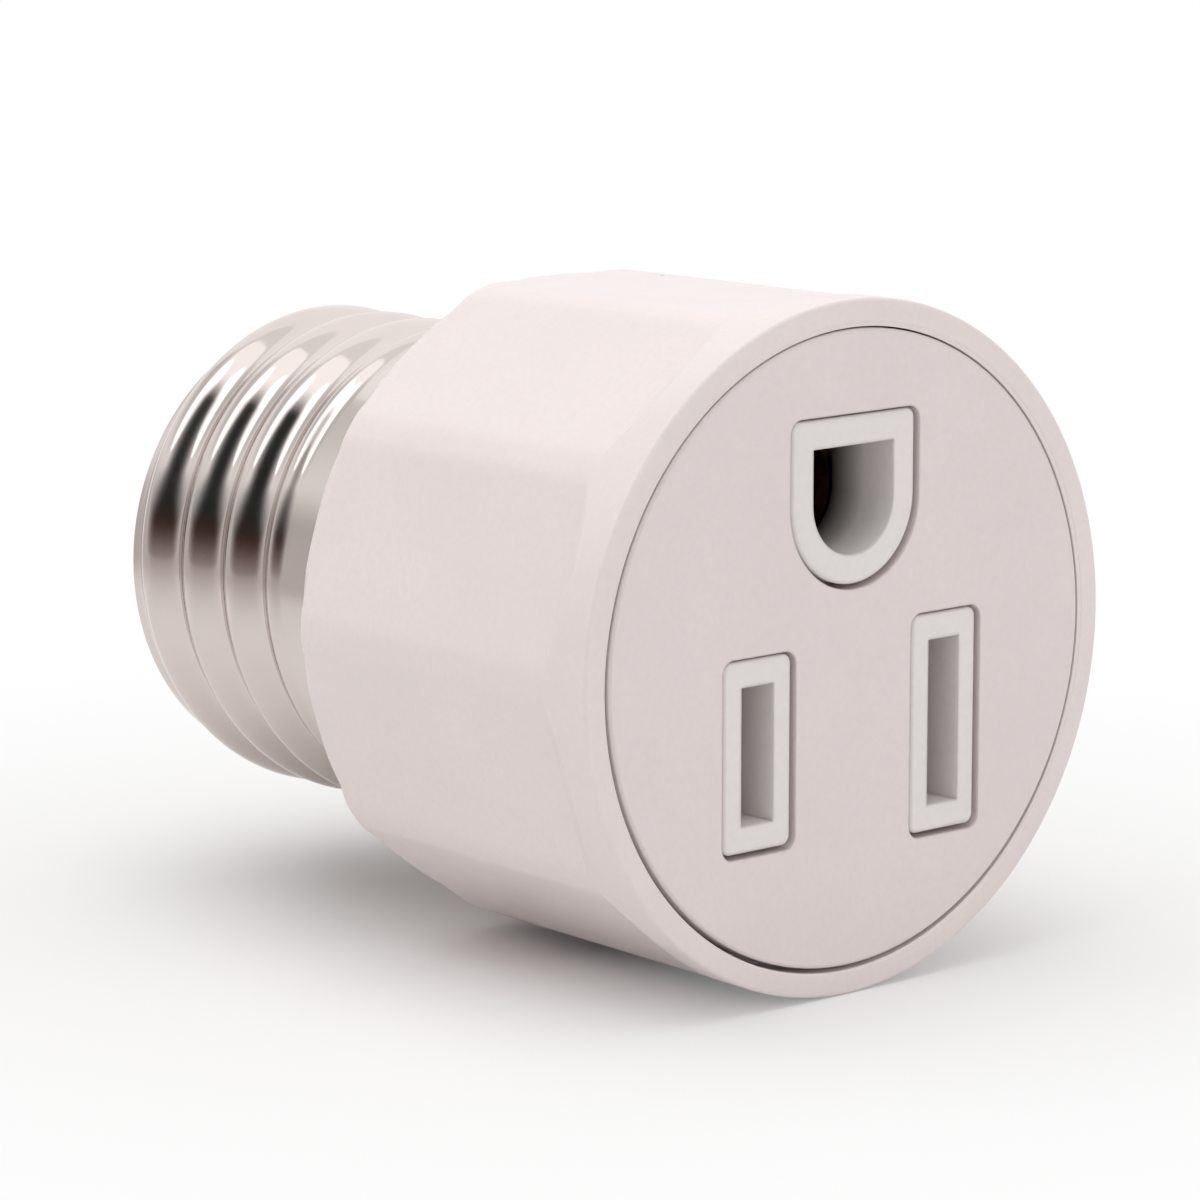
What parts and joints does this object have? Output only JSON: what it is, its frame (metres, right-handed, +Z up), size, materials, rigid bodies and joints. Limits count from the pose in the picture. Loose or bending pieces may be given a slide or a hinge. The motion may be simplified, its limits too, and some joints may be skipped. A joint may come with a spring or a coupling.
{
  "type": "lamp socket adapter",
  "caption": "Screw lamp base that carries a flat-sided barrel with a grounded plug outlet in its flush round face, to take a plug from a lamp socket.",
  "frame": {"origin": "centre of the bounding box's bottom, on the floor below the adapter's axis", "axes": "+Z up towards the ground hole's side, +Y along the axis from the outlet face to the lamp base, +X to the right as seen from in front of the outlet"},
  "size_m": [0.035, 0.049, 0.035],
  "materials": {
    "barrel_plastic": "smooth satin moulding, warm white",
    "plate_plastic": "fine matte moulding, warm white",
    "carrier_plastic": "fine matte moulding, neutral white",
    "contact_brass": "bright rolled strip",
    "shell_metal": "bright rolled aluminium sheet",
    "tip_brass": "bright pressed rivet",
    "wire_black": "soft black insulation",
    "wire_white": "soft white insulation"
  },
  "bodies": {
    "root": {"housing": "barrel_plastic", "face_plate": "plate_plastic", "contact_carrier": "carrier_plastic", "contact_retainer": "carrier_plastic", "line_contact": "contact_brass", "neutral_contact": "contact_brass", "ground_contact": "contact_brass", "screw_shell": "shell_metal", "center_contact": "tip_brass", "line_wire": "wire_black", "neutral_wire": "wire_white"}
  },
  "joints": []
}
